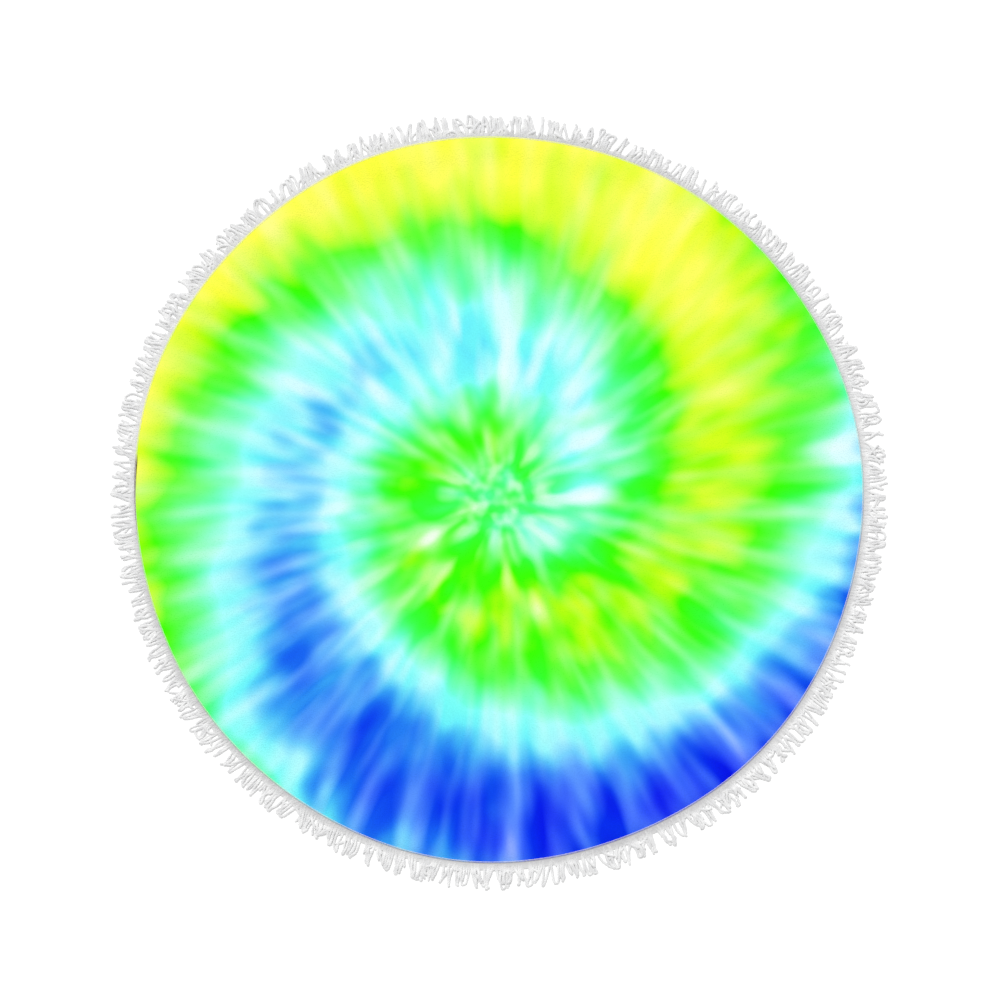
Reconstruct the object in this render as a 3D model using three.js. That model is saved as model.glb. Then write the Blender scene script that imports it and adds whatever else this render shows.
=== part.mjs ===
// A round bath towel, laid flat and face up: one round printed cloth with an overlocked rim, and a
// cotton fringe whose heading tape is sewn under that rim.
// Millimetres, +Z up. The towel lies on z = 0, and the fringe is centred on the origin.
import * as THREE from "three";

// The printed cloth.
const clothRadius = 700; // centre to overlocked rim
const clothCentre = { x: -2, y: 4 }; // it is sewn a little off the fringe's centre
const clothThickness = 2.5; // terry, pile included
const rimThickness = 2.2; // the overlock stitch presses the pile down
const rimRounding = 1.1;
const clothSides = 180;

// The rim, which climbs gently from the surface and laps over the fringe's heading tape.
const lapWidth = 22;
const climbWidth = 40;
const sewnGap = 0.3; // between the tape and the cloth above it

// The fringe's heading tape.
const tapeInnerRadius = 686;
const tapeOuterRadius = 711;
const tapeThickness = 1.2;

// The legs of the fringe's loops: they stand apart, and lean together in pairs.
const legCount = 300;
const legSteps = 4;
const legLength = 30; // middle length, beyond the tape
const legWidthAtRoot = 7.2;
const legWidthAtTip = 5.2;
const legHeight = 3;
const legHeightAtTip = 2.4;
const pairLean = 3; // how far each tip leans towards the other leg of its loop

// The towel isn't truly round: rim, tape and fringe wander in and out together as they lie.
// A wave has so many crests round the towel, its size in millimetres, and the angle of one crest.
const edgeWaves = [
  { crests: 2, size: 2.3, crestAt: THREE.MathUtils.degToRad(-27) },
  { crests: 3, size: 2.2, crestAt: THREE.MathUtils.degToRad(18) },
  { crests: 4, size: 1.0, crestAt: THREE.MathUtils.degToRad(-8) },
  { crests: 5, size: 1.0, crestAt: THREE.MathUtils.degToRad(32) },
  { crests: 7, size: 1.5, crestAt: THREE.MathUtils.degToRad(8) },
];

// The fringe isn't combed: its length and its lean wander too.
const lengthWaves = [
  { crests: 5, size: 1.0, crestAt: THREE.MathUtils.degToRad(26) },
  { crests: 11, size: 1.3, crestAt: THREE.MathUtils.degToRad(25) },
];
const leanWaves = [
  { crests: 7, size: 4.5, crestAt: THREE.MathUtils.degToRad(40) },
  { crests: 19, size: 3.5, crestAt: THREE.MathUtils.degToRad(6) },
];
const lengthSpread = 13; // between the shortest and the longest of neighbours
const leanSpread = 1.2;

const printedTerry = new THREE.MeshStandardMaterial({
  name: "printed_terry",
  color: 0x5cff4a,
  roughness: 0.95,
  metalness: 0,
});
const fringeCotton = new THREE.MeshStandardMaterial({
  name: "fringe_cotton",
  color: 0xf1f0ec,
  roughness: 0.9,
  metalness: 0,
});

// The value of a set of waves at one angle of the ring.
function wander(waves, angle) {
  return waves.reduce(
    (sum, wave) => sum + wave.size * Math.cos(wave.crests * (angle - wave.crestAt)),
    0,
  );
}

// A number from -0.5 to 0.5 that looks random and is the same each time for the same place.
function uneven(index, kind) {
  const mixed = Math.sin(index * 12.9898 + kind * 78.233) * 43758.5453;
  return mixed - Math.floor(mixed) - 0.5;
}

// Moves the points of a round cloth in or out with the edge's waves, the more the nearer its rim.
function unevenRound(geometry) {
  const place = geometry.getAttribute("position");
  for (let i = 0; i < place.count; i++) {
    const radius = Math.hypot(place.getX(i), place.getY(i));
    const angle = Math.atan2(place.getY(i), place.getX(i));
    const growth = 1 + (wander(edgeWaves, angle) * radius) / clothRadius ** 2;
    place.setXY(i, place.getX(i) * growth, place.getY(i) * growth);
  }
}

// The cloth is a section turned about its own centre: a thin flat sheet whose rim rises onto the tape.
function towelCloth() {
  const lapHeight = tapeThickness + sewnGap;
  const lapStart = clothRadius - lapWidth;
  const climbStart = lapStart - climbWidth;
  const roundingStart = clothRadius - rimRounding;
  const section = [
    new THREE.Vector2(0, 0),
    new THREE.Vector2(climbStart, 0),
    new THREE.Vector2(lapStart, lapHeight),
    new THREE.Vector2(roundingStart, lapHeight),
    new THREE.Vector2(clothRadius, lapHeight + rimThickness / 2),
    new THREE.Vector2(roundingStart, lapHeight + rimThickness),
    new THREE.Vector2(lapStart, lapHeight + clothThickness),
    new THREE.Vector2(climbStart, clothThickness),
    new THREE.Vector2(0, clothThickness),
  ];
  const geometry = new THREE.LatheGeometry(section, clothSides);
  geometry.rotateX(Math.PI / 2); // a lathe turns about Y, and the towel's axis is Z
  unevenRound(geometry);
  const mesh = new THREE.Mesh(geometry, printedTerry);
  mesh.name = "towel_cloth";
  mesh.position.set(clothCentre.x, clothCentre.y, 0);
  return mesh;
}

// Gathers points and triangles into one closed surface.
class Surface {
  positions = [];
  triangles = [];

  // A point given round the towel's axis, by its angle, its height and its radius without the waves.
  point(radius, angle, height) {
    const wavy = radius + wander(edgeWaves, angle);
    this.positions.push(wavy * Math.cos(angle), wavy * Math.sin(angle), height);
    return this.positions.length / 3 - 1;
  }

  // A flat face with its corners counter-clockwise as seen from outside.
  face(first, ...others) {
    for (let i = 0; i + 1 < others.length; i++) {
      this.triangles.push(first, others[i], others[i + 1]);
    }
  }

  geometry() {
    const made = new THREE.BufferGeometry();
    made.setAttribute("position", new THREE.Float32BufferAttribute(this.positions, 3));
    made.setIndex(this.triangles);
    made.computeVertexNormals();
    return made;
  }
}

// One leg's shape at a share of its length from the tape: how far out, how far aside, how wide and high.
function legShape(index, rootAngle) {
  const length =
    legLength + wander(lengthWaves, rootAngle) + lengthSpread * uneven(index, 1);
  const towardsPartner = index % 2 === 0 ? pairLean : -pairLean;
  const lean = wander(leanWaves, rootAngle) + towardsPartner + leanSpread * uneven(index, 2);
  const bend = 1.3 + 0.6 * uneven(index, 3); // over 1, a leg bends aside mostly near its tip
  return (share) => ({
    radius: tapeOuterRadius + length * share,
    aside: lean * share ** bend,
    halfWidth: THREE.MathUtils.lerp(legWidthAtRoot, legWidthAtTip, share) / 2,
    height: THREE.MathUtils.lerp(legHeight, legHeightAtTip, share),
  });
}

// A leg grows out of its root, a triangle on the tape's outer wall, and rests on the floor all along.
function addLeg(surface, root, shape, rootAngle) {
  let last = root;
  for (let step = 1; step <= legSteps; step++) {
    const { radius, aside, halfWidth, height } = shape(step / legSteps);
    const ring = {
      right: surface.point(radius, rootAngle + (aside - halfWidth) / radius, 0),
      left: surface.point(radius, rootAngle + (aside + halfWidth) / radius, 0),
      ridge: surface.point(radius, rootAngle + aside / radius, height),
    };
    surface.face(last.right, last.left, ring.left, ring.right);
    surface.face(last.right, ring.right, ring.ridge, last.ridge);
    surface.face(last.left, last.ridge, ring.ridge, ring.left);
    last = ring;
  }
  surface.face(last.right, last.left, last.ridge);
}

// The heading tape is a flat ring, and its outer wall carries the root of each leg.
function fringeTrim() {
  const surface = new Surface();
  const pitch = (2 * Math.PI) / legCount;
  const rootHalfAngle = legWidthAtRoot / 2 / tapeOuterRadius;
  const stations = Array.from({ length: legCount }, (_, index) => {
    const angle = index * pitch;
    return {
      angle,
      innerFoot: surface.point(tapeInnerRadius, angle, 0),
      innerTop: surface.point(tapeInnerRadius, angle, tapeThickness),
      root: {
        right: surface.point(tapeOuterRadius, angle - rootHalfAngle, 0),
        left: surface.point(tapeOuterRadius, angle + rootHalfAngle, 0),
        ridge: surface.point(tapeOuterRadius, angle, tapeThickness),
      },
    };
  });
  stations.forEach((here, index) => {
    const next = stations[(index + 1) % legCount];
    surface.face(here.innerTop, here.root.ridge, next.root.ridge, next.innerTop);
    surface.face(here.innerFoot, next.innerFoot, next.root.right, here.root.left, here.root.right);
    surface.face(here.innerTop, next.innerTop, next.innerFoot, here.innerFoot);
    surface.face(here.root.left, next.root.right, next.root.ridge, here.root.ridge);
    addLeg(surface, here.root, legShape(index, here.angle), here.angle);
  });
  const mesh = new THREE.Mesh(surface.geometry(), fringeCotton);
  mesh.name = "fringe_trim";
  return mesh;
}

const towel = new THREE.Group();
towel.add(towelCloth(), fringeTrim());

export default towel;
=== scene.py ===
# The looks of a round terry towel, laid flat and face up: a cloth with a tie-dye spiral printed on
# it, the overlock thread on its rim, and a cotton fringe of twisted loops on a ribbed tape.
# Metres, +Z up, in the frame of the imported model.
import math

import bpy
import numpy as np
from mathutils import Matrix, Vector


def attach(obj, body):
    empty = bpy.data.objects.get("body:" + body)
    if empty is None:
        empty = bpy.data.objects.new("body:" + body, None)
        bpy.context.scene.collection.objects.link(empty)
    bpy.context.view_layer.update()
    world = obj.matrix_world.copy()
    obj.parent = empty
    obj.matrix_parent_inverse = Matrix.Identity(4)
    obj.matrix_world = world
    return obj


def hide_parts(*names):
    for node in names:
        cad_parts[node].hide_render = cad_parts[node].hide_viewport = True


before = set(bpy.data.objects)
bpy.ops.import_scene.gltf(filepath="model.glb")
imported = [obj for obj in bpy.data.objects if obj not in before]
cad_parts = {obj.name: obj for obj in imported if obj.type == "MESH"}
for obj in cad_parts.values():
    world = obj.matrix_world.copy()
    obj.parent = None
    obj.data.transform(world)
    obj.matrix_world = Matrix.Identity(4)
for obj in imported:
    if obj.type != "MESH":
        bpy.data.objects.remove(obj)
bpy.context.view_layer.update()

TAU = 2 * math.pi
MM = 0.001
TINY = 1e-4  # keeps a division from being one by nothing

# The cloth.
CLOTH_RADIUS = 700 * MM
CLOTH_CENTRE = Vector((-2 * MM, 4 * MM, 0))
CLOTH_THICKNESS = 2.5 * MM
RIM_THICKNESS = 1.5 * MM  # pressed thin under its stitches
PRESSED_WIDTH = 12 * MM  # over which the pile gets thinner towards the rim
LAP_WIDTH = 22 * MM  # the rim that lies on the fringe's tape
CLIMB_WIDTH = 40 * MM  # over which the cloth rises onto the tape
LAP_HEIGHT = 1.3 * MM

# How finely the cloth is made: points round it, and steps along each stretch of its section.
CLOTH_POINTS_ROUND = 480
FLAT_STEPS = 69
CLIMB_STEPS = 8
LAP_STEPS = 5
RIM_STEPS = 8
UNDERSIDE_TILT = -0.3  # a face turned further down than this is on the white back

# Where the nap stands fuller: waves of so many radians to a metre, each from an angle of its own. The
# quick ones bend to and fro, so that they make no even pattern.
NAP_RISE = 0.7 * MM
NAP_MIDDLE = 0.5
NAP_FADE_START = 30 * MM  # from the rim
NAP_FADE_END = 4 * MM
SLOW_ACROSS = {"pace": 9, "start": 2.1}
SLOW_UP = {"pace": 7, "start": -0.6}
SLOW_SLANTING = {"pace": 13, "start": 4.0}
SLANT = 0.6
SLOW_SHARE = 0.18
QUICK_ACROSS = {"pace": 71, "bends": 3, "bend_pace": 23}
QUICK_UP = {"pace": 64, "bends": 2, "bend_pace": 29}
QUICK_SHARE = 0.14

# The overlock thread.
STITCH_COUNT = 2000
STITCH_BITE = 1.2 * MM  # from the rim's round to where a stitch goes through
STITCH_WOBBLE = 0.12 * MM
STITCH_STEPS = 6
THREAD_RADIUS = 0.3 * MM
THREAD_SIDES = 4
THREAD_CLEARANCE = 0.15 * MM  # from the cloth to the thread's middle
THREAD_DIP = 0.1 * MM  # at a stitch's two ends
CHAIN_RADIUS = 0.32 * MM
CHAIN_SIDES = 5
CHAIN_SWING = 0.35 * MM

# The fringe's tape.
TAPE_INNER = 686 * MM
TAPE_OUTER = 711 * MM
TAPE_SLOPE_START = 697 * MM
TAPE_THICKNESS = 1.2 * MM
TAPE_THICKNESS_OUT = 0.6 * MM  # where it turns into yarns
TAPE_ROUNDING = 0.8 * MM
RIBS_PER_LEG = 3  # a loop of yarn has two legs
POINTS_PER_RIB = 3
RIB_DEPTH = 0.2 * MM

# The fringe's yarn, pressed flat where it lies, and thinner at its two ends.
YARN_RADIUS = 2.4 * MM
YARN_FLATNESS = 0.35
YARN_SIDES = 8
PLIES = 3
YARN_LOBES = 0.1  # how far its section is from round
YARN_TURN = 14 * MM  # the length in which it twists once round
YARN_STOUTNESS = (0.85, 1.15)
YARN_END_STOUTNESS = 0.55
YARN_END = 3 * MM
TUFT_STOUTNESS = 0.9
FLOOR_CLEARANCE = 0.05 * MM

# Where the yarn leaves the tape: it starts woven in, shows a little, then lies on top, then drops.
ROOT = 14 * MM  # how far in on the tape it starts
ROOT_RISE = 3 * MM
WOVEN_SHOWN = 0.3  # the share of it that shows while it is woven in
SURFACING = 5 * MM  # the last stretch of tape, over which the rest of it comes up
DROP_START = 1 * MM  # inside the tape's outer edge
DROP_END = 7 * MM  # outside it

# The loops of yarn. Each of these is a range that a loop's own value is drawn from, or the spread of
# values round a middle one, and a wave carries the middle one up and down round the towel.
LOOP_COUNT = 340
LOOP_STEPS = 60
LOOP_PARTS = 4  # the loops are made as so many pieces
LOOP_STRAY = 0.35  # in places between neighbours
LOOP_HALF_WIDTH = (3.5 * MM, 7.5 * MM)
LOOP_LENGTH = 31.4 * MM
LOOP_LENGTH_WAVE = {"crests": 5, "crest_at": 0.45, "size": 1.0 * MM}
LOOP_LENGTH_SPREAD = 3.2 * MM
LOOP_LENGTH_LIMITS = (20 * MM, 36.5 * MM)
LOOP_LEAN_WAVE = {"crests": 7, "crest_at": 0.7, "size": 5.0 * MM}
LOOP_LEAN_SPREAD = 6.5 * MM
LOOP_LEAN_BEND = 1.4  # over 1, a loop leans mostly near its tip
LOOP_PINCH = (-0.2, 1.5)  # how far its legs close towards its tip, and over 1 they cross
LOOP_WIGGLE = {"spread": 2.2 * MM, "along": 7.5, "around": 9}
LOOP_KINK = {"spread": 0.9 * MM, "along": 19, "around": 31}
LOOP_BLUNTNESS = (0.45, 0.85)  # the smaller, the blunter its tip
LOOP_SQUARENESS = 0.75
LOOP_LIFT = (0, 1.5 * MM)

# The cut yarns and the short tufts: lengths out from the tape, and headings in radians.
LOOSE_COUNT = 360
LOOSE_STEPS = 24
LOOSE_LENGTH = (16 * MM, 33 * MM)
TUFT_COUNT = 340
TUFT_STEPS = 14
TUFT_LENGTH = (2 * MM, 10 * MM)
LOOSE_HEADING_SPREAD = 0.38
LOOSE_BEND_SPREAD = 0.75
LOOSE_WAVER = {"spread": 0.45, "along": 6, "around": 5}
LOOSE_STRAIGHT_SHARE = 0.4  # the first part of a yarn, over which its heading comes in
LOOSE_LIFT = (0, 2.2 * MM)

# The towel isn't truly round: rim, tape and fringe wander in and out together, as the solids do.
EDGE_WAVES = [
    {"crests": 2, "size": 2.3 * MM, "crest_at": math.radians(-27)},
    {"crests": 3, "size": 2.2 * MM, "crest_at": math.radians(18)},
    {"crests": 4, "size": 1.0 * MM, "crest_at": math.radians(-8)},
    {"crests": 5, "size": 1.0 * MM, "crest_at": math.radians(32)},
    {"crests": 7, "size": 1.5 * MM, "crest_at": math.radians(8)},
]

random_draw = np.random.default_rng(20)


# Pieces from arrays of points

def add_piece(name, points, faces, materials):
    """A smooth mesh piece that rides on the towel and takes the finish of one of its slots."""
    mesh = bpy.data.meshes.new(name)
    mesh.from_pydata(points.tolist(), [], faces)
    mesh.polygons.foreach_set("use_smooth", [True] * len(mesh.polygons))
    for material in materials:
        mesh.materials.append(material)
    mesh.update()
    piece = bpy.data.objects.new(name, mesh)
    bpy.context.scene.collection.objects.link(piece)
    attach(piece, "root")
    return piece


def wave_at(wave, angle):
    """The value of one wave at each angle round the towel."""
    return wave["size"] * np.cos(wave["crests"] * (angle - wave["crest_at"]))


def around(radius, angle, height, centre=(0.0, 0.0)):
    """Points given round an axis, from arrays of radius, angle and height.

    The edge's waves move them in or out, the more the nearer they are to the rim.
    """
    radius, angle, height = np.broadcast_arrays(radius, angle, height)
    waves = sum(wave_at(wave, angle) for wave in EDGE_WAVES)
    wavy = radius + waves * np.minimum(radius / CLOTH_RADIUS, 1)**2
    x = centre[0] + wavy * np.cos(angle)
    y = centre[1] + wavy * np.sin(angle)
    return np.stack([x, y, height], axis=-1)


def smooth_step(value, start, end):
    """0 before start, 1 past end, and smooth between them."""
    share = np.clip((value - start) / (end - start), 0, 1)
    return share * share * (3 - 2 * share)


def even_angles(count):
    return np.arange(count) * TAU / count


def grid_faces(rows, columns, wrap_rows, wrap_columns):
    """Four-cornered faces over rows and columns of points, either way joined up or left open."""
    row = np.arange(rows if wrap_rows else rows - 1)[:, None]
    column = np.arange(columns if wrap_columns else columns - 1)[None, :]
    next_row, next_column = (row + 1) % rows, (column + 1) % columns
    corners = [
        row * columns + column,
        row * columns + next_column,
        next_row * columns + next_column,
        next_row * columns + column,
    ]
    return np.stack([np.broadcast_to(c, corners[0].shape) for c in corners], -1).reshape(-1, 4)


def unit(vectors):
    return vectors / np.linalg.norm(vectors, axis=-1, keepdims=True)


def level_across(along):
    """The level direction across a path, from the path's own direction."""
    return unit(np.cross([0.0, 0.0, 1.0], along))


def swept(paths, girths, sides, aside=None, lobes=0.0, twist=0.0, flatness=1.0):
    """Tubes along many paths at once, each closed at its ends.

    paths are (tubes, steps, 3) points and girths their radii. lobes above 0 draws the section out to
    two sides, turned by twist at each step. flatness below 1 presses the tubes flat. aside is the
    direction across each tube, where the tubes don't lie flat.
    """
    tubes, steps, _ = paths.shape
    along = unit(np.gradient(paths, axis=1))
    if aside is None:
        aside = level_across(along)
    upward = np.cross(along, aside)
    corner = even_angles(sides)
    reach = girths[..., None] * (1 + lobes * np.cos(2 * (corner - np.asarray(twist)[..., None])))
    sideways = (reach * np.cos(corner))[..., None] * aside[:, :, None, :]
    raised = (reach * np.sin(corner) * flatness)[..., None] * upward[:, :, None, :]
    points = paths[:, :, None, :] + sideways + raised
    faces = []
    one = grid_faces(steps, sides, False, True)
    for tube in range(tubes):
        first = tube * steps * sides
        faces.extend((one + first).tolist())
        faces.append(list(range(first + sides - 1, first - 1, -1)))
        last = first + (steps - 1) * sides
        faces.append(list(range(last, last + sides)))
    return points.reshape(-1, 3), faces


def swept_ring(path, girth, sides):
    """A tube along one closed path."""
    padded = np.concatenate([path[-1:], path, path[:1]])
    along = unit(padded[2:] - padded[:-2])
    aside = level_across(along)
    upward = np.cross(along, aside)
    corner = even_angles(sides)
    sideways = (girth * np.cos(corner))[None, :, None] * aside[:, None, :]
    raised = (girth * np.sin(corner))[None, :, None] * upward[:, None, :]
    points = path[:, None, :] + sideways + raised
    return points.reshape(-1, 3), grid_faces(len(path), sides, True, True).tolist()


# Finishes

class Wire:
    """One socket in a finish's nodes. Plain arithmetic on it adds the Math nodes."""

    def __init__(self, finish, socket):
        self.finish = finish
        self.socket = socket

    def beside(self, name):
        """Another output of the same node."""
        return Wire(self.finish, self.socket.node.outputs[name])

    def __add__(self, other):
        return self.finish.maths("ADD", self, other)

    def __sub__(self, other):
        return self.finish.maths("SUBTRACT", self, other)

    def __rsub__(self, other):
        return self.finish.maths("SUBTRACT", other, self)

    def __mul__(self, other):
        return self.finish.maths("MULTIPLY", self, other)

    def __truediv__(self, other):
        return self.finish.maths("DIVIDE", self, other)

    def __pow__(self, other):
        return self.finish.maths("POWER", self, other)

    __radd__ = __add__
    __rmul__ = __mul__


class Finish:
    """One material, with the one method that adds a node to it."""

    def __init__(self, name, roughness, sheen=0.0, specular=0.05):
        self.material = bpy.data.materials.new(name)
        self.material.use_nodes = True
        self.tree = self.material.node_tree
        self.shader = self.tree.nodes["Principled BSDF"]
        self.shader.inputs["Roughness"].default_value = roughness
        self.shader.inputs["Specular IOR Level"].default_value = specular
        self.shader.inputs["Sheen Weight"].default_value = sheen

    def node(self, kind, settings=None, sockets=None, output=0):
        """Adds a node: its settings are set first, then the values or links of its sockets."""
        made = self.tree.nodes.new("ShaderNode" + kind)
        for setting, value in (settings or {}).items():
            if setting == "stops":
                self.set_stops(made.color_ramp, value)
            else:
                setattr(made, setting, value)
        for socket, value in (sockets or {}).items():
            self.feed(made.inputs[socket], value)
        return Wire(self, made.outputs[output])

    def set_stops(self, ramp, stops):
        while len(ramp.elements) < len(stops):
            ramp.elements.new(1.0)
        for element, (place, colour) in zip(ramp.elements, stops):
            element.position = place
            element.color = (*colour, 1.0)

    def feed(self, socket, value):
        if isinstance(value, Wire):
            self.tree.links.new(value.socket, socket)
        else:
            socket.default_value = value

    def surface(self, **feeds):
        """Feeds the shader's own sockets, with _ for a space in their names."""
        for name, value in feeds.items():
            self.feed(self.shader.inputs[name.replace("_", " ")], value)

    def maths(self, operation, *values):
        return self.node("Math", {"operation": operation}, dict(enumerate(values)))

    def clamped(self, value):
        """Kept between 0 and 1."""
        return self.node("Clamp", {}, {"Value": value})

    def eased(self, value, start, end):
        """0 before start, 1 past end, and smooth between them."""
        sockets = {"Value": value, "From Min": start, "From Max": end}
        return self.node("MapRange", {"interpolation_type": "SMOOTHSTEP"}, sockets)

    def rise(self, value, row):
        """Eased between the row's start and end, up to its size where it has one."""
        share = self.eased(value, row["start"], row["end"])
        return share * row["size"] if "size" in row else share

    def vectors(self, operation, *values):
        return self.node("VectorMath", {"operation": operation}, dict(enumerate(values)))

    def joined(self, x, y, z=0.0):
        """A vector from its three parts."""
        return self.node("CombineXYZ", {}, {"X": x, "Y": y, "Z": z})

    def split(self, vector):
        """A vector's X, with its Y and Z beside it."""
        return self.node("SeparateXYZ", {}, {"Vector": vector})

    def length(self, vector):
        return self.vectors("LENGTH", vector).beside("Value")

    def scaled(self, vector, share):
        """A vector or a colour times a share."""
        return self.node("VectorMath", {"operation": "SCALE"}, {0: vector, "Scale": share})

    def place(self):
        return self.node("TexCoord", output="Object")

    def noise(self, where, scale, detail=2.0):
        sockets = {"Vector": where, "Scale": scale, "Detail": detail}
        return self.node("TexNoise", {"noise_dimensions": "3D"}, sockets)

    def cells(self, where, scale):
        """The distance to the nearest of many scattered points."""
        return self.node("TexVoronoi", {}, {"Vector": where, "Scale": scale})

    def blended(self, share, first, second):
        """A colour between two colours."""
        return self.node("Mix", {"data_type": "RGBA"}, {0: share, 6: first, 7: second}, 2)

    def bumped(self, height, depth, strength):
        return self.node("Bump", {}, {"Height": height, "Distance": depth, "Strength": strength})


def seen(red, green, blue):
    """A colour as it is seen, from 0 to 255, in the range 0 to 1."""
    return (red / 255, green / 255, blue / 255)


def grey(lightness):
    return (lightness, lightness, lightness, 1.0)


# The printed dye. Reaches are in cloth radii from the cloth's centre. A crest is where a wave is
# highest, in turns from the right, anticlockwise.

SEEN_TO_LIGHT = 2.2  # the power that turns a seen colour into a share of light
PRINT_LIGHTNESS = 0.92

# The dyes by depth, where 0 is yellow, 1 green, 2 cyan, 3 blue and 4 deep blue: as they look where
# the cloth took them in full, and where it took them thinly.
DEEPEST = 4.0
DYES = [
    {"depth": 0.0, "full": seen(250, 255, 65), "thin": seen(255, 255, 125)},
    {"depth": 0.45, "full": seen(205, 255, 30), "thin": seen(220, 255, 110)},
    {"depth": 0.7, "full": seen(150, 255, 15), "thin": seen(195, 255, 120)},
    {"depth": 0.95, "full": seen(60, 255, 5), "thin": seen(160, 255, 130)},
    {"depth": 1.25, "full": seen(55, 255, 55), "thin": seen(160, 255, 160)},
    {"depth": 1.6, "full": seen(90, 255, 170), "thin": seen(180, 255, 220)},
    {"depth": 1.85, "full": seen(120, 255, 245), "thin": seen(210, 255, 255)},
    {"depth": 2.15, "full": seen(105, 240, 250), "thin": seen(205, 250, 255)},
    {"depth": 2.5, "full": seen(65, 175, 245), "thin": seen(135, 220, 255)},
    {"depth": 2.95, "full": seen(30, 105, 240), "thin": seen(105, 170, 255)},
    {"depth": 3.5, "full": seen(10, 50, 235), "thin": seen(85, 130, 255)},
    {"depth": 4.0, "full": seen(10, 25, 230), "thin": seen(65, 95, 255)},
]

# A hump is at its full size in one place, and gone when it is that much to either side. A rise grows
# from nothing at its start to its full size at its end.

# The depth without its waves.
DEPTH = 1.24
DEPTH_HUMP = {"middle": 0.62, "fades": 0.44, "size": 0.4}
DEPTH_RISE_IN_MIDDLE = {"start": 0.2, "end": 0.0, "size": 0.2}
DEPTH_RISE_AT_RIM = {"start": 0.7, "end": 0.95, "size": 0.24}

# The spiral's one arm, whose crest turns on towards the rim, ever more slowly.
ARM_CREST = -0.18
ARM_TURNING = 1.47
ARM_SLOWING = 0.456
ARM_KINK = {"middle": 0.18, "fades": 0.2, "size": 0.055}
ARM_SIZE = 1.6
ARM_RISE_AT_RIM = {"start": 0.7, "end": 1.0, "size": 0.35}

# Two slower crests, which grow towards the rim by a power of the reach.
RIM_WAVE = {"crests": 2, "crest": -0.01, "turning": 0.36, "power": 1.5, "size": 0.38}

# Slow ripples in the depth, each a wave whose crest turns so much further with each cloth radius, and
# which is a hump by its reach.
RIPPLES = [
    {"crests": 2, "crest": -0.2, "turning": 0.95, "middle": 0.2, "fades": 0.2, "size": 0.12},
    {"crests": 3, "crest": -0.12, "turning": 0.6, "middle": 0.74, "fades": 0.36, "size": 0.17},
    {"crests": 2, "crest": 0.03, "turning": 0.0, "middle": 0.6, "fades": 0.15, "size": 0.06},
    {"crests": 5, "crest": 0.05, "turning": 0.0, "middle": 0.78, "fades": 0.2, "size": 0.07},
    {"crests": 4, "crest": 0.01, "turning": 0.0, "middle": 0.8, "fades": 0.2, "size": 0.08},
    {"crests": 1, "crest": -0.02, "turning": 0.0, "middle": 0.8, "fades": 0.14, "size": 0.08},
]

# How the gathered cloth's folds fan out round its crumpled middle. The crumples are so many to a cloth
# radius. Each row takes over at its reach: so many folds go round, and so many come one after another
# on the way to the rim. The seeds decide where they fall.
DEPTH_SEED = 14
DEPTH_CRUMPLES = 9.0
DEPTH_FOLDS = [
    {"reach": 0.08, "round": 2.0, "outward": 4.0},
    {"reach": 0.25, "round": 4.6, "outward": 8.0},
    {"reach": 0.45, "round": 6.5, "outward": 6.5},
    {"reach": 0.72, "round": 9.0, "outward": 5.5},
]
THIN_SEED = 3
THIN_CRUMPLES = 20.0
THIN_FOLDS = [
    {"reach": 0.1, "round": 3.2, "outward": 7.0},
    {"reach": 0.33, "round": 6.3, "outward": 5.5},
    {"reach": 0.52, "round": 10.5, "outward": 4.0},
    {"reach": 0.75, "round": 13.0, "outward": 3.4},
]
TAKEOVER_START = 0.6  # as shares of a row's reach
TAKEOVER_END = 1.4
NOISE_MIDDLE = 0.5

# How strongly the folds change the depth: less where it is between green and cyan, more where it is
# blue, and more in the middle of the cloth.
BLUE_START = 1.9
BLUE_END = 2.6
FOLD_DEPTH = 1.4
FOLD_DEPTH_HUMP = {"middle": 1.6, "fades": 1.0, "size": 0.45}
FOLD_DEPTH_RISE_IN_MIDDLE = {"start": 0.4, "end": 0.1, "size": 0.15}
FOLD_DEPTH_IN_BLUE = 0.4

# How thin the dye is, how strongly the folds change that, and where it is so thin that white shows.
THINNESS = 0.4
THINNESS_IN_BLUE = 0.1
CONTRAST = 5.1
CONTRAST_LOSS = 3.0  # from the middle to the rim
CONTRAST_RISE_AT_RIM = {"start": 0.8, "end": 1.0, "size": 0.7}
CONTRAST_IN_BLUE = 1.2
WASHED_RISE = {"start": 0.9, "end": 2.2, "size": 0.85}

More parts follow.
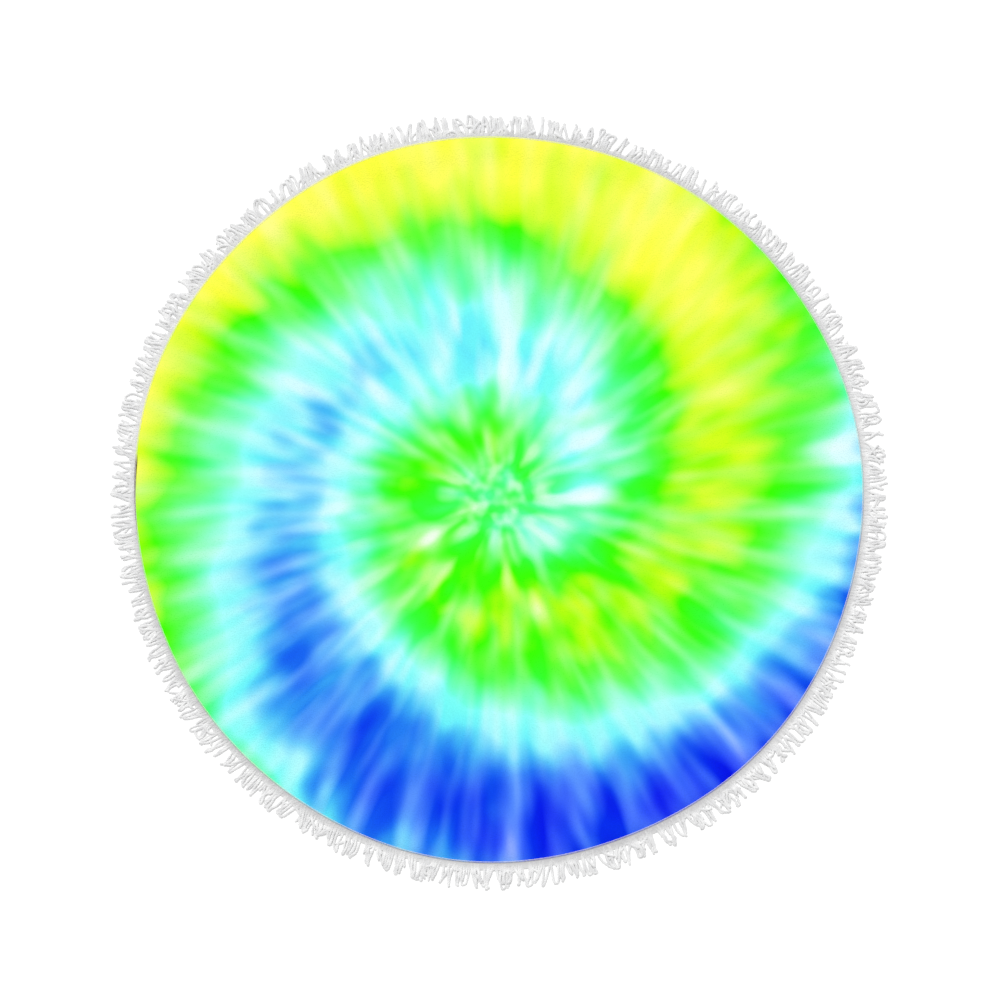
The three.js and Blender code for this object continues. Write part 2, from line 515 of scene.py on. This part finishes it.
# Marks that stand out by themselves: where, in degrees and cloth radii, how long and wide, how much
# thinner the dye is, and how much deeper.
MARKS = [
    {"angle": -38, "reach": 0.16, "length": 0.13, "width": 0.045, "thinner": 1.25, "deeper": 0.15},
    {"angle": 1, "reach": 0.25, "length": 0.13, "width": 0.04, "thinner": 1.45, "deeper": 0.2},
    {"angle": 7, "reach": 0.12, "length": 0.04, "width": 0.025, "thinner": 0.9, "deeper": 0.0},
    {"angle": 33, "reach": 0.27, "length": 0.13, "width": 0.028, "thinner": 0.6, "deeper": 0.15},
    {"angle": 54, "reach": 0.14, "length": 0.06, "width": 0.028, "thinner": 0.8, "deeper": 0.0},
    {"angle": 86, "reach": 0.36, "length": 0.14, "width": 0.04, "thinner": 0.9, "deeper": 0.0},
    {"angle": 129, "reach": 0.2, "length": 0.07, "width": 0.028, "thinner": 0.6, "deeper": -0.1},
    {"angle": 150, "reach": 0.3, "length": 0.09, "width": 0.035, "thinner": 0.5, "deeper": -0.1},
    {"angle": 160, "reach": 0.17, "length": 0.08, "width": 0.028, "thinner": 0.6, "deeper": -0.1},
    {"angle": -151, "reach": 0.22, "length": 0.09, "width": 0.03, "thinner": 0.7, "deeper": -0.2},
    {"angle": -126, "reach": 0.28, "length": 0.13, "width": 0.022, "thinner": 0.5, "deeper": -0.1},
    {"angle": -83, "reach": 0.22, "length": 0.09, "width": 0.03, "thinner": 0.8, "deeper": -0.2},
    {"angle": -70, "reach": 0.32, "length": 0.08, "width": 0.03, "thinner": 0.6, "deeper": -0.2},
    {"angle": 8, "reach": 0.97, "length": 0.18, "width": 0.06, "thinner": 0.9, "deeper": 0.2},
]

# A painted shadow: a dark line along the rim, at the left.
RIM_SHADOW_LINE = {"turned": 0.495, "half_length": 0.018, "reach": 0.9965}
RIM_SHADOW_FULL = 0.5  # the share of it beyond which it is fully dark
RIM_SHADOW_COLOUR = (*seen(70, 58, 44), 1.0)


class SpiralDye:
    """The printed dye's depth and thinness over the cloth, in a finish's nodes."""

    def __init__(self, finish, across, up):
        """across and up are places on the cloth, in cloth radii from its centre."""
        self.finish = finish
        self.reach = (across * across + up * up) ** 0.5
        self.turn = finish.maths("ARCTAN2", up, across) / TAU
        outward = self.reach + TINY
        self.flat = finish.joined(across, up)
        self.fan = finish.joined(across / outward, up / outward, self.reach)
        self.polar = finish.joined(self.reach, self.turn)

    def wave(self, row):
        """A wave round the cloth, whose crests may turn on with the reach."""
        crest = self.reach * row["turning"] + row["crest"]
        return self.turned_wave(row["crests"], crest)

    def turned_wave(self, crests, crest):
        return self.finish.maths("COSINE", (self.turn - crest) * (TAU * crests))

    def hump(self, value, row):
        return self.nearness(value, row["middle"], row["fades"]) * row["size"]

    def nearness(self, value, middle, fades):
        """1 in the middle and 0 when it is that much to either side."""
        away = self.finish.maths("ABSOLUTE", value - middle)
        return self.finish.eased(away, fades, 0.0)

    def placed_noise(self, where, scale, start):
        """Noise so fine along each axis, which starts from a place of its own."""
        sockets = {"Vector": where, "Location": start, "Scale": scale}
        placed = self.finish.node("Mapping", {"vector_type": "POINT"}, sockets)
        return self.finish.noise(placed, 1.0, detail=1.0)

    def folds(self, seed, crumples, rows):
        """Blotches in the middle, and streaks that get finer and longer towards the rim."""
        blend = self.placed_noise(self.flat, (crumples, crumples, 1.0), (0.0, 0.0, seed))
        for row in rows:
            scale = (row["round"], row["round"], row["outward"])
            streaks = self.placed_noise(self.fan, scale, (seed, 0.0, 0.0))
            start, end = row["reach"] * TAKEOVER_START, row["reach"] * TAKEOVER_END
            blend = blend + (streaks - blend) * self.finish.eased(self.reach, start, end)
        return blend - NOISE_MIDDLE

    def waving_depth(self):
        """The depth of the dye as its waves alone make it."""
        reach = self.reach
        depth = DEPTH + self.hump(reach, DEPTH_HUMP) + self.finish.rise(reach, DEPTH_RISE_IN_MIDDLE)
        depth = depth + self.finish.rise(reach, DEPTH_RISE_AT_RIM)
        crest = reach * (ARM_TURNING - reach * ARM_SLOWING) + ARM_CREST - self.hump(reach, ARM_KINK)
        arm_size = reach * ARM_SIZE + self.finish.rise(reach, ARM_RISE_AT_RIM)
        depth = depth + self.turned_wave(1, crest) * arm_size
        depth = depth + self.wave(RIM_WAVE) * reach**RIM_WAVE["power"] * RIM_WAVE["size"]
        for ripple in RIPPLES:
            depth = depth + self.wave(ripple) * self.hump(reach, ripple)
        return depth

    def marks(self):
        """How much thinner the single marks make the dye, with how much deeper beside it."""
        finish = self.finish
        total = (0.0, 0.0, 0.0)
        for mark in MARKS:
            middle = (mark["reach"], mark["angle"] / 360, 0.0)
            spread = (1 / mark["length"], TAU * mark["reach"] / mark["width"], 0.0)
            away = finish.vectors("MULTIPLY", finish.vectors("SUBTRACT", self.polar, middle), spread)
            change = (mark["thinner"], mark["deeper"], 0.0)
            spot = finish.scaled(change, finish.eased(finish.length(away), 1.0, 0.0))
            total = finish.vectors("ADD", spot, total)
        return finish.split(total)

    def depth_and_thinness(self):
        depth = self.waving_depth()
        blue = self.finish.eased(depth, BLUE_START, BLUE_END)
        fold_depth = FOLD_DEPTH - self.hump(depth, FOLD_DEPTH_HUMP)
        fold_depth = fold_depth + self.finish.rise(self.reach, FOLD_DEPTH_RISE_IN_MIDDLE)
        fold_depth = fold_depth + blue * FOLD_DEPTH_IN_BLUE
        depth = depth + self.folds(DEPTH_SEED, DEPTH_CRUMPLES, DEPTH_FOLDS) * fold_depth
        contrast = CONTRAST - self.reach * CONTRAST_LOSS
        contrast = contrast + self.finish.rise(self.reach, CONTRAST_RISE_AT_RIM) + blue * CONTRAST_IN_BLUE
        thin = THINNESS + self.folds(THIN_SEED, THIN_CRUMPLES, THIN_FOLDS) * contrast
        thin = thin + blue * THINNESS_IN_BLUE
        thinner = self.marks()
        return depth + thinner.beside("Y"), thin + thinner

    def rim_shadow_line(self):
        """1 on the painted shadow line at the rim, and 0 away from it."""
        turned = self.finish.maths("ABSOLUTE", self.turn)
        beside = self.nearness(turned, RIM_SHADOW_LINE["turned"], RIM_SHADOW_LINE["half_length"])
        at_rim = self.finish.eased(self.reach, RIM_SHADOW_LINE["reach"], 1.0)
        return at_rim * self.finish.eased(beside, 0.0, RIM_SHADOW_FULL)


# The pile, whose loops and noise are so many to a metre.
PILE_FINENESS = 900.0
PRINTED_LOOPS = 560.0
PRINTED_LOOP_SHADE = {"start": 0.2, "end": 0.75, "size": 0.12}
PRINTED_SWELLS = 90.0
PRINTED_PILE_RISE = 0.5  # of the pile and of its swells, against 1 for the loops
PRINTED_BUMP = 1.0 * MM
PRINTED_BUMP_STRENGTH = 0.6
WHITE_LOOPS = 620.0
WHITE_BUMP = 0.6 * MM
WHITE_BUMP_STRENGTH = 0.5
WHITE_COTTON = (0.8, 0.8, 0.79, 1.0)
WHITE_COTTON_SHADED = (0.7, 0.7, 0.69, 1.0)
WHITE_LIT = {"start": 0.3, "end": 0.6}


def printed_terry():
    """The printed face: dye in folds and streaks, on a short dense pile."""
    finish = Finish("printed_terry", roughness=0.95, sheen=0.05, specular=0.02)
    place = finish.place()
    split = finish.split(place)
    across = (split - CLOTH_CENTRE.x) / CLOTH_RADIUS
    up = (split.beside("Y") - CLOTH_CENTRE.y) / CLOTH_RADIUS
    dye = SpiralDye(finish, across, up)
    depth, thin = dye.depth_and_thinness()

    def dyed(strength):
        stops = [(row["depth"] / DEEPEST, row[strength]) for row in DYES]
        return finish.node("ValToRGB", {"stops": stops}, {"Fac": depth / DEEPEST})

    colour = finish.blended(finish.clamped(thin), dyed("full"), dyed("thin"))
    colour = finish.blended(finish.clamped(finish.rise(thin, WASHED_RISE)), colour, grey(1.0))
    # painted shadow: a dark line along the rim, at the left
    colour = finish.blended(dye.rim_shadow_line(), colour, RIM_SHADOW_COLOUR)
    colour = finish.node("Gamma", {}, {"Color": colour, "Gamma": SEEN_TO_LIGHT})
    loops = finish.cells(place, PRINTED_LOOPS)
    shaded = (1 - finish.rise(loops, PRINTED_LOOP_SHADE)) * PRINT_LIGHTNESS
    colour = finish.scaled(colour, shaded)
    pile = finish.noise(place, PILE_FINENESS, detail=1.0) * PRINTED_PILE_RISE
    swells = finish.noise(place, PRINTED_SWELLS) * PRINTED_PILE_RISE
    height = loops * -1.0 + pile + swells
    bumped = finish.bumped(height, PRINTED_BUMP, PRINTED_BUMP_STRENGTH)
    finish.surface(Base_Color=colour, Normal=bumped)
    return finish.material


def white_terry():
    """The unprinted back, the same pile with its loops left white."""
    finish = Finish("white_terry", roughness=0.95, sheen=0.12)
    place = finish.place()
    lit = finish.rise(finish.noise(place, PILE_FINENESS, detail=1.0), WHITE_LIT)
    colour = finish.blended(lit, WHITE_COTTON_SHADED, WHITE_COTTON)
    loops = finish.cells(place, WHITE_LOOPS)
    bumped = finish.bumped(loops * -1.0, WHITE_BUMP, WHITE_BUMP_STRENGTH)
    finish.surface(Base_Color=colour, Normal=bumped)
    return finish.material


# The fringe's yarn: its tone differs a little from yarn to yarn, and it has painted light on its sides,
# where it faces less upward. It has painted shade at its root and in the grooves between its plies.
YARN_TONES = (0.65, 0.65, 0.655, 1.0), grey(0.76)
YARN_TONE_FINENESS = 60.0
YARN_TONE_RISE = {"start": 0.3, "end": 0.7}
YARN_SIDE_PAINTED_LIGHT = grey(0.93)
YARN_SIDE_LIGHT_RISE = {"start": 0.95, "end": 0.3}  # by how far up a place faces
YARN_ROOT_RISE = {"start": TAPE_OUTER - 12 * MM, "end": TAPE_OUTER + 4 * MM, "size": 0.22}
YARN_ROOT_SHADE = 0.78
YARN_GROOVE_RISE = {"start": 0.0, "end": 0.6, "size": 0.1}
YARN_GROOVE_SHADE = 0.91
YARN_FIBRES = 2200.0
YARN_FIBRE_RISE = 0.5
YARN_BUMP = 0.5 * MM
YARN_BUMP_STRENGTH = 0.6


def fringe_yarn():
    """Soft twisted cotton, a little uneven from yarn to yarn."""
    finish = Finish("fringe_yarn", roughness=0.9, sheen=0.3)
    place = finish.place()
    batch = finish.rise(finish.noise(place, YARN_TONE_FINENESS, detail=1.0), YARN_TONE_RISE)
    colour = finish.blended(batch, *YARN_TONES)
    facing_up = finish.split(finish.node("NewGeometry", output="Normal")).beside("Z")
    # painted light: lighter where the yarn faces sideways rather than up
    colour = finish.blended(finish.rise(facing_up, YARN_SIDE_LIGHT_RISE), colour, YARN_SIDE_PAINTED_LIGHT)
    ply = finish.split(finish.node("Attribute", {"attribute_name": "ply"}, output="Vector"))
    turned = finish.maths("ARCTAN2", ply.beside("Y"), ply)
    rounded = finish.maths("ABSOLUTE", finish.maths("SINE", turned * (PLIES / 2)))
    root = finish.rise(finish.length(place), YARN_ROOT_RISE) + YARN_ROOT_SHADE
    groove = finish.rise(rounded, YARN_GROOVE_RISE) + YARN_GROOVE_SHADE
    colour = finish.scaled(colour, root * groove)
    fibres = finish.noise(place, YARN_FIBRES, detail=3.0)
    height = finish.eased(rounded, 0.0, 1.0) + fibres * YARN_FIBRE_RISE
    finish.surface(Base_Color=colour, Normal=finish.bumped(height, YARN_BUMP, YARN_BUMP_STRENGTH))
    return finish.material


# The tape's weave, darker with painted shade next to the cloth's rim and lighter further out towards the
# yarns.
WEAVE_THREADS = 1100.0
WEAVE_SHADE_FADE = {"start": TAPE_OUTER - 14 * MM, "end": TAPE_OUTER - 2 * MM}
DARK_WEAVE_TONES = (0.42, 0.415, 0.425, 1.0), grey(0.55)  # in painted shade by the cloth's rim, and out of it
LIGHT_WEAVE_TONES = (0.56, 0.555, 0.565, 1.0), grey(0.7)
WEAVE_BUMP = 0.3 * MM
WEAVE_BUMP_STRENGTH = 0.6


def heading_weave():
    """The tape's ribbed weave, greyer between its threads, with painted shade next to the cloth's rim."""
    finish = Finish("heading_weave", roughness=0.9, sheen=0.1)
    place = finish.place()
    threads = finish.noise(place, WEAVE_THREADS)
    # painted shade: darker next to the cloth's rim, fading out towards the yarns
    out_of_shade = finish.rise(finish.length(place), WEAVE_SHADE_FADE)
    dark = finish.blended(out_of_shade, *DARK_WEAVE_TONES)
    light = finish.blended(out_of_shade, *LIGHT_WEAVE_TONES)
    colour = finish.blended(threads, dark, light)
    finish.surface(Base_Color=colour, Normal=finish.bumped(threads, WEAVE_BUMP, WEAVE_BUMP_STRENGTH))
    return finish.material


# The overlock thread's spun cotton.
THREAD_FIBRES = 2500.0
THREAD_TONES = (0.72, 0.7, 0.64, 1.0), (0.84, 0.82, 0.77, 1.0)
THREAD_BUMP = 0.2 * MM
THREAD_BUMP_STRENGTH = 0.5


def overlock_thread():
    """Spun thread, a warm light grey."""
    finish = Finish("overlock_thread", roughness=0.8, sheen=0.1)
    spun = finish.noise(finish.place(), THREAD_FIBRES)
    colour = finish.blended(spun, *THREAD_TONES)
    finish.surface(Base_Color=colour, Normal=finish.bumped(spun, THREAD_BUMP, THREAD_BUMP_STRENGTH))
    return finish.material


# The cloth

def stretch(start, end, steps):
    """Even steps from start to end, without the start itself."""
    return np.linspace(start, end, steps + 1)[1:]


def cloth_section():
    """Half a section through the cloth, from its underside's middle round the rim to its face's."""
    lap_start = CLOTH_RADIUS - LAP_WIDTH
    climb_start = lap_start - CLIMB_WIDTH
    rim_start = CLOTH_RADIUS - RIM_THICKNESS
    inner = np.concatenate([
        stretch(0, climb_start, FLAT_STEPS),
        stretch(climb_start, lap_start, CLIMB_STEPS),
        stretch(lap_start, rim_start, LAP_STEPS),
    ])
    below = smooth_step(inner, climb_start, lap_start) * LAP_HEIGHT
    pressed = smooth_step(inner, CLOTH_RADIUS - PRESSED_WIDTH, rim_start)
    above = below + CLOTH_THICKNESS - pressed * (CLOTH_THICKNESS - RIM_THICKNESS)
    lean = stretch(-0.5, 0.5, RIM_STEPS)[:-1] * math.pi
    half = RIM_THICKNESS / 2
    rim_radius = CLOTH_RADIUS - half + half * np.cos(lean)
    rim_height = LAP_HEIGHT + half + half * np.sin(lean)
    radius = np.concatenate([inner, rim_radius, inner[::-1]])
    height = np.concatenate([below, rim_height, above[::-1]])
    return radius, height, len(inner)


def nap_fullness(points):
    """How full the nap stands, mostly between 0 and 1, in slow swells and quick ones."""
    x, y = points[..., 0], points[..., 1]

    def slow(along, wave):
        return np.sin(wave["pace"] * along + wave["start"])

    def quick(along, aside, wave):
        return np.sin(wave["pace"] * along + wave["bends"] * np.sin(wave["bend_pace"] * aside))

    slow_swells = slow(x, SLOW_ACROSS) * slow(y, SLOW_UP) + slow(x + SLANT * y, SLOW_SLANTING)
    quick_swells = quick(x, y, QUICK_ACROSS) * quick(y, x, QUICK_UP)
    return NAP_MIDDLE + SLOW_SHARE * slow_swells + QUICK_SHARE * quick_swells


def make_cloth():
    """The cloth: its section turned round its centre, closed by a fan of faces above and below."""
    radius, height, inner_count = cloth_section()
    turns = CLOTH_POINTS_ROUND
    points = around(radius[:, None], even_angles(turns)[None, :], height[:, None], CLOTH_CENTRE)
    face_up = np.arange(len(radius))[:, None] >= len(radius) - inner_count
    napped = 1 - smooth_step(radius, CLOTH_RADIUS - NAP_FADE_START, CLOTH_RADIUS - NAP_FADE_END)
    points[..., 2] += np.where(face_up, nap_fullness(points) * NAP_RISE * napped[:, None], 0)
    middle = np.array([
        [CLOTH_CENTRE.x, CLOTH_CENTRE.y, 0.0],
        [CLOTH_CENTRE.x, CLOTH_CENTRE.y, CLOTH_THICKNESS + NAP_MIDDLE * NAP_RISE],
    ])
    faces = grid_faces(len(radius), turns, False, True).tolist()
    below, above = len(radius) * turns, len(radius) * turns + 1
    last = (len(radius) - 1) * turns
    for step in range(turns):
        following = (step + 1) % turns
        faces.append([below, following, step])
        faces.append([above, last + step, last + following])
    points = np.concatenate([points.reshape(-1, 3), middle])
    materials = [printed_terry(), white_terry()]
    cloth = add_piece("cloth_panel", points, faces, materials)
    white = 1  # the white terry's place among the materials
    for face in cloth.data.polygons:
        if face.normal.z < UNDERSIDE_TILT:
            face.material_index = white
    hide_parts("towel_cloth")
    return cloth


# The overlock thread

def stitch_section():
    """One stitch's course: over the face, round the rim and back below, as radii and heights."""
    half = RIM_THICKNESS / 2 + THREAD_CLEARANCE
    lean = np.linspace(0.5, -0.5, STITCH_STEPS + 1) * math.pi
    rim_radius = CLOTH_RADIUS - RIM_THICKNESS / 2 + half * np.cos(lean)
    rim_height = LAP_HEIGHT + RIM_THICKNESS / 2 + half * np.sin(lean)
    start = CLOTH_RADIUS - STITCH_BITE - RIM_THICKNESS / 2
    radius = np.concatenate([[start], rim_radius, [start]])
    height = np.concatenate([[rim_height[0] - THREAD_DIP], rim_height, [rim_height[-1]]])
    return radius, np.maximum(height, LAP_HEIGHT - THREAD_DIP)


def make_overlock(material):
    """Thread wrapped over the rim, stitch by stitch, and the chain that ties the stitches on the face."""
    turn = even_angles(STITCH_COUNT)
    wobble = random_draw.normal(0, STITCH_WOBBLE, STITCH_COUNT)
    radius, height = stitch_section()
    slant = np.linspace(0.5, -0.5, len(radius)) * TAU / STITCH_COUNT
    paths = around(
        radius[None, :] + wobble[:, None],
        turn[:, None] + slant[None, :],
        height[None, :],
        CLOTH_CENTRE,
    )
    aside = np.stack([-np.sin(turn), np.cos(turn), 0 * turn], axis=-1)[:, None, :]
    girths = np.full(paths.shape[:2], THREAD_RADIUS)
    points, faces = swept(paths, girths, THREAD_SIDES, aside=np.broadcast_to(aside, paths.shape))
    wraps = add_piece("overlock_wraps", points, faces, [material])
    steps = 2 * STITCH_COUNT
    swing = CHAIN_SWING * np.cos(np.arange(steps) * math.pi)
    chain_height = LAP_HEIGHT + RIM_THICKNESS + 2 * THREAD_CLEARANCE
    chain_path = around(radius[0] + swing, even_angles(steps), chain_height, CLOTH_CENTRE)
    points, faces = swept_ring(chain_path, CHAIN_RADIUS, CHAIN_SIDES)
    chain = add_piece("overlock_chain", points, faces, [material])
    return [wraps, chain]


# The fringe

def make_tape(material):
    """The heading tape, its face raised in ribs where its weft turns out into the fringe."""
    turns = RIBS_PER_LEG * 2 * LOOP_COUNT * POINTS_PER_RIB
    section = np.array([
        [TAPE_INNER, 0],
        [TAPE_OUTER, 0],
        [TAPE_OUTER, TAPE_THICKNESS_OUT / 2],
        [TAPE_OUTER - TAPE_ROUNDING, TAPE_THICKNESS_OUT],
        [TAPE_SLOPE_START, TAPE_THICKNESS],
        [TAPE_INNER, TAPE_THICKNESS],
    ])
    valley = (np.arange(turns) % POINTS_PER_RIB == 0) * RIB_DEPTH
    is_top = (section[:, 1] > TAPE_THICKNESS_OUT / 2)[:, None]
    height = section[:, 1][:, None] - is_top * valley[None, :]
    points = around(section[:, 0][:, None], even_angles(turns)[None, :], height).reshape(-1, 3)
    faces = grid_faces(len(section), turns, True, True).tolist()
    tape = add_piece("heading_tape", points, faces, [material])
    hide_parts("fringe_trim")
    return tape


def lying(radius, lift):
    """The height of a yarn's centre line: on the tape, then down on the floor or on other yarns."""
    half = YARN_RADIUS * YARN_FLATNESS
    root = TAPE_OUTER - ROOT
    slope = np.clip((radius - TAPE_SLOPE_START) / (TAPE_OUTER - TAPE_SLOPE_START), 0, 1)
    tape = TAPE_THICKNESS + (TAPE_THICKNESS_OUT - TAPE_THICKNESS) * slope
    shown = WOVEN_SHOWN * smooth_step(radius, root, root + ROOT_RISE)
    shown = shown + (1 - WOVEN_SHOWN) * smooth_step(radius, TAPE_OUTER - SURFACING, TAPE_OUTER)
    on_tape = tape + half * (shown - 1)
    off_tape = smooth_step(radius, TAPE_OUTER - DROP_START, TAPE_OUTER + DROP_END)
    return on_tape + (half + lift - on_tape) * off_tape


def loop_paths(count, steps):
    """The centre lines of the yarn loops, which stand out of the tape and lie over each other."""
    one_each = (count, 1)
    share = np.linspace(0, 1, steps)[None, :]
    stray = random_draw.uniform(-LOOP_STRAY, LOOP_STRAY, count)
    middle = (np.arange(count) + stray)[:, None] * TAU / count
    wide = random_draw.uniform(*LOOP_HALF_WIDTH, one_each)
    long = LOOP_LENGTH + wave_at(LOOP_LENGTH_WAVE, middle)
    long = np.clip(long + random_draw.normal(0, LOOP_LENGTH_SPREAD, one_each), *LOOP_LENGTH_LIMITS)
    lean = wave_at(LOOP_LEAN_WAVE, middle) + random_draw.normal(0, LOOP_LEAN_SPREAD, one_each)
    pinch = random_draw.uniform(*LOOP_PINCH, one_each)
    wiggle = random_draw.normal(0, LOOP_WIGGLE["spread"], one_each)
    kink = random_draw.normal(0, LOOP_KINK["spread"], one_each)
    blunt = random_draw.uniform(*LOOP_BLUNTNESS, one_each)
    lift = random_draw.uniform(*LOOP_LIFT, one_each)
    swing = math.pi * share
    aside = -np.sign(np.cos(swing)) * np.abs(np.cos(swing)) ** LOOP_SQUARENESS
    out = np.abs(np.sin(swing)) ** blunt
    across = wide * aside * (1 - pinch * out) + lean * out**LOOP_LEAN_BEND
    for size, row in ((wiggle, LOOP_WIGGLE), (kink, LOOP_KINK)):
        across = across + size * np.sin(row["along"] * share + row["around"] * middle) * out
    radius = TAPE_OUTER - ROOT + (long + ROOT) * out
    return around(radius, middle + across / radius, lying(radius, lift))


def loose_paths(count, steps, lengths):
    """The centre lines of cut yarns, each bending as it pleases between and over the loops."""
    one_each = (count, 1)
    share = np.linspace(0, 1, steps)[None, :]
    middle = random_draw.uniform(0, TAU, one_each)
    long = ROOT + random_draw.uniform(*lengths, one_each)
    heading = random_draw.normal(0, LOOSE_HEADING_SPREAD, one_each)
    bend = random_draw.normal(0, LOOSE_BEND_SPREAD, one_each)
    waver = random_draw.normal(0, LOOSE_WAVER["spread"], one_each)
    lift = random_draw.uniform(*LOOSE_LIFT, one_each)
    heading = heading + waver * np.sin(LOOSE_WAVER["along"] * share + LOOSE_WAVER["around"] * middle)
    heading = heading * smooth_step(share, 0, LOOSE_STRAIGHT_SHARE) + bend * share
    pace = long / (steps - 1)
    radius = TAPE_OUTER - ROOT + np.cumsum(np.cos(heading) * pace, axis=1) - pace
    across = np.cumsum(np.sin(heading) * pace, axis=1)
    return around(radius, middle + across / radius, lying(radius, lift))


def twisted(name, paths, material, stoutness=1.0):
    """Loosely twisted yarn along each path, pressed flat where it lies, thinner at its two ends."""
    count, _, _ = paths.shape
    lengths = np.linalg.norm(np.diff(paths, axis=1), axis=2)
    travelled = np.concatenate([np.zeros((count, 1)), np.cumsum(lengths, axis=1)], axis=1)
    to_end = np.minimum(travelled, travelled[:, -1:] - travelled)
    stout = random_draw.uniform(*YARN_STOUTNESS, (count, 1)) * stoutness
    full = smooth_step(to_end, 0, YARN_END)
    girths = YARN_RADIUS * stout * (YARN_END_STOUTNESS + (1 - YARN_END_STOUTNESS) * full)
    twist = travelled / YARN_TURN * TAU + random_draw.uniform(0, TAU, (count, 1))
    points, faces = swept(
        paths, girths, YARN_SIDES, lobes=YARN_LOBES, twist=twist, flatness=YARN_FLATNESS
    )
    points[:, 2] = np.maximum(points[:, 2], FLOOR_CLEARANCE)
    piece = add_piece(name, points, faces, [material])
    phase = even_angles(YARN_SIDES) - twist[..., None]
    ply = np.stack([np.cos(phase), np.sin(phase), 0 * phase], axis=-1)
    piece.data.attributes.new("ply", "FLOAT_VECTOR", "POINT").data.foreach_set("vector", ply.ravel())
    return piece


def make_fringe(yarn, weave):
    """The tape, then the loops in a few pieces, the cut yarns and the tufts at their roots."""
    pieces = [make_tape(weave)]
    loops = loop_paths(LOOP_COUNT, LOOP_STEPS)
    for part, paths in enumerate(np.split(loops, LOOP_PARTS), start=1):
        pieces.append(twisted(f"yarn_loops_{part}", paths, yarn))
    cut = loose_paths(LOOSE_COUNT, LOOSE_STEPS, LOOSE_LENGTH)
    pieces.append(twisted("loose_yarns", cut, yarn))
    tufts = loose_paths(TUFT_COUNT, TUFT_STEPS, TUFT_LENGTH)
    pieces.append(twisted("root_tufts", tufts, yarn, TUFT_STOUTNESS))
    return pieces


# Floor, light and camera

FLOOR_HALF_SIDE = 12.0
FLOOR_DROP = 0.3 * MM
FLOOR_TONE = grey(0.94)
BACKDROP_STRENGTH = 0.7
KEY_STRENGTH = 2.27
KEY_SPREAD = math.radians(35)
KEY_COMES_FROM = Vector((-0.34, 0.94, 1.05))
METRES_PER_PIXEL = 1.9268 * MM
FRAME_PX = 1000
RING_CENTRE_PX = (499.33, 500.34)  # from the frame's left and top edges
SENSOR_WIDTH = 36.0
LENS_LENGTH = 135.0
SEEN_TO = 100.0


def make_stage():
    finish = Finish("pale_floor", roughness=0.9, specular=0.0)
    finish.surface(Base_Color=FLOOR_TONE)
    mesh = bpy.data.meshes.new("floor")
    side = FLOOR_HALF_SIDE
    corners = [(-side, -side), (side, -side), (side, side), (-side, side)]
    mesh.from_pydata([(x, y, -FLOOR_DROP) for x, y in corners], [], [(0, 1, 2, 3)])
    mesh.materials.append(finish.material)
    floor = bpy.data.objects.new("floor", mesh)
    bpy.context.scene.collection.objects.link(floor)


def make_light():
    """A white backdrop, and one broad lamp from the top of the frame."""
    world = bpy.data.worlds.new("studio")
    bpy.context.scene.world = world
    world.use_nodes = True
    backdrop = world.node_tree.nodes["Background"]
    backdrop.inputs["Color"].default_value = grey(1.0)
    backdrop.inputs["Strength"].default_value = BACKDROP_STRENGTH
    lamp = bpy.data.lights.new("key", "SUN")
    lamp.energy = KEY_STRENGTH
    lamp.angle = KEY_SPREAD
    key = bpy.data.objects.new("key", lamp)
    key.rotation_mode = "QUATERNION"
    key.rotation_quaternion = KEY_COMES_FROM.normalized().to_track_quat("Z", "Y")
    bpy.context.scene.collection.objects.link(key)
    bpy.context.scene.view_settings.view_transform = "Standard"


def make_camera():
    """Straight above, so that the fringe's ring fills the frame as it does in the photo."""
    lens = bpy.data.cameras.new("camera")
    lens.sensor_width = SENSOR_WIDTH
    lens.lens = LENS_LENGTH
    lens.clip_end = SEEN_TO
    camera = bpy.data.objects.new("camera", lens)
    camera.location = (
        (FRAME_PX / 2 - RING_CENTRE_PX[0]) * METRES_PER_PIXEL,
        (RING_CENTRE_PX[1] - FRAME_PX / 2) * METRES_PER_PIXEL,
        METRES_PER_PIXEL * FRAME_PX * LENS_LENGTH / SENSOR_WIDTH,
    )
    bpy.context.scene.collection.objects.link(camera)
    bpy.context.scene.camera = camera


make_stage()
make_light()
make_camera()
cloth = make_cloth()
trims = make_overlock(overlock_thread()) + make_fringe(fringe_yarn(), heading_weave())
